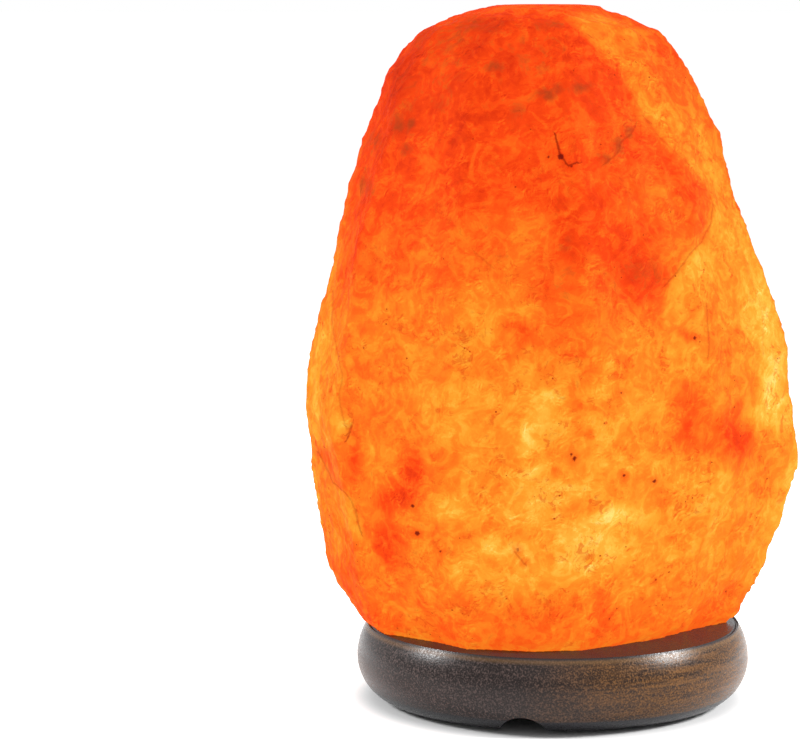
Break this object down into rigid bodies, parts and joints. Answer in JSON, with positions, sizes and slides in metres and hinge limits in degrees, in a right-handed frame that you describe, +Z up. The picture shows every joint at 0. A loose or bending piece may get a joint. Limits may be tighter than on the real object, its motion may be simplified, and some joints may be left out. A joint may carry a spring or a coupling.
{
  "type": "salt crystal lamp",
  "caption": "Rough block of pink rock salt, lit from inside by a small screw-cap bulb on a pull-out holder, on a round turned wooden base.",
  "frame": {"origin": "centre of the underside, on the surface the lamp stands on", "axes": "+Z up, the cable channel in the base opens towards -Y, and the crystal's broad face looks a little towards +X of -Y"},
  "size_m": [0.1575, 0.1365, 0.2258],
  "materials": {
    "stained_wood": "dark brown stain, satin lacquer",
    "rock_salt": "hewn rock salt, lit from inside",
    "black_rubber": "matt",
    "plated_steel": "zinc plated",
    "spring_steel": "nickel plated",
    "grey_plastic": "moulded",
    "black_moulding": "compression moulded",
    "white_ceramic": "unglazed",
    "brass": "pressed",
    "nickel": "nickel plated",
    "solder": "dull",
    "black_glass": "fused",
    "clear_glass": "blown, clear",
    "tungsten": "drawn wire, lit"
  },
  "bodies": {
    "base_and_crystal": {"wood_base": "stained_wood", "salt_crystal": "rock_salt", "rubber_feet": "black_rubber", "crystal_screws": "plated_steel", "screw_washers": "plated_steel", "crystal_plugs": "grey_plastic"},
    "bulb_holder": {"holder_plate": "plated_steel", "nipple": "plated_steel", "lock_washer": "plated_steel", "nipple_nut": "brass", "clip_yoke": "spring_steel", "holder_cap": "black_moulding", "holder_shell": "black_moulding", "contact_carrier": "white_ceramic", "screw_shell": "brass", "centre_contact": "brass", "side_contact": "brass", "terminal_screws": "brass"},
    "arm_right": {"spring_arm_right": "spring_steel"},
    "arm_left": {"spring_arm_left": "spring_steel"},
    "bulb_travel": {"bulb_tip_contact": "solder"},
    "bulb": {"bulb_insulator": "black_glass", "bulb_cap": "nickel", "bulb_glass": "clear_glass", "bulb_stem": "clear_glass", "lead_wires": "nickel", "filament": "tungsten", "filament_supports": "tungsten"}
  },
  "joints": [
    {"name": "holder_pull", "type": "slide", "parent": "base_and_crystal", "child": "bulb_holder", "axis": [0, 0, -1], "range_m": [0, 0.09]},
    {"name": "arm_right_squeeze", "type": "hinge", "parent": "bulb_holder", "child": "arm_right", "pos_m": [0.0174, 0, 0.0096], "axis": [0, -1, 0], "range_deg": [0, 12], "stiffness_Nm_per_rad": 0.5},
    {"name": "arm_left_squeeze", "type": "hinge", "parent": "bulb_holder", "child": "arm_left", "pos_m": [-0.0174, 0, 0.0096], "axis": [0, 1, 0], "range_deg": [0, 12], "stiffness_Nm_per_rad": 0.5},
    {"name": "bulb_lift", "type": "slide", "parent": "bulb_holder", "child": "bulb_travel", "axis": [0, 0, 1], "range_m": [0, 0.0089]},
    {"name": "bulb_turn", "type": "hinge", "parent": "bulb_travel", "child": "bulb", "pos_m": [0, 0, 0.0385], "axis": [0, 0, 1], "range_deg": [0, 1260]}
  ],
  "couplings": [
    {"joint": "bulb_lift", "follows": "bulb_turn", "m_per_rad": 0.00040425}
  ]
}
